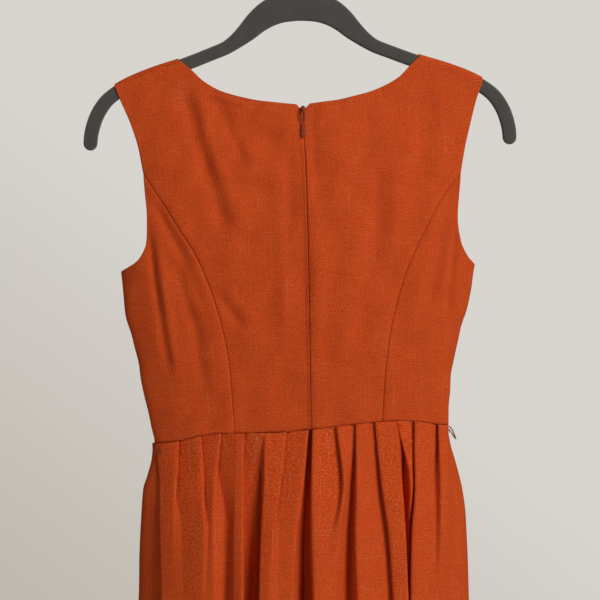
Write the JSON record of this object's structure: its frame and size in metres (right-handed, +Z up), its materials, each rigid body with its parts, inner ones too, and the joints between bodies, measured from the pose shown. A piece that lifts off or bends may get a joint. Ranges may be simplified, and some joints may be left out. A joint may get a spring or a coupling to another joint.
{
  "type": "fit and flare dress on a hanger",
  "caption": "Sleeveless fit and flare dress with princess seams, a back zip and a knife-pleated skirt, hanging open at neck, armholes and hem on a slim flocked hanger.",
  "frame": {"origin": "inside top of the hanger's hook, where a rail carries it", "axes": "+Z up, +X to the wearer's left, and the dress faces -Y, so its back and zip face +Y"},
  "size_m": [0.4458, 0.2295, 1.0915],
  "materials": {
    "orange_cloth": "matt slub weave",
    "zip_tape": "matt woven tape",
    "zip_metal": "satin",
    "grey_flock": "flocked",
    "hook_steel": "polished"
  },
  "bodies": {
    "dress": {"back_centre_left": "orange_cloth", "back_centre_right": "orange_cloth", "back_side_left": "orange_cloth", "back_side_right": "orange_cloth", "front_centre": "orange_cloth", "front_side_left": "orange_cloth", "front_side_right": "orange_cloth", "skirt_back_left": "orange_cloth", "skirt_back_right": "orange_cloth", "skirt_front": "orange_cloth", "belt_loop_left": "orange_cloth", "belt_loop_right": "orange_cloth", "zip_chain": "zip_tape", "zip_slider": "zip_metal", "hanger_body": "grey_flock", "hanger_hook": "hook_steel"},
    "pull": {"zip_pull": "zip_metal"}
  },
  "joints": [
    {"name": "pull_swing", "type": "hinge", "parent": "dress", "child": "pull", "pos_m": [-0.003, 0.01731, -0.1887], "axis": [1, 0, 0], "range_deg": [0, 165]}
  ]
}
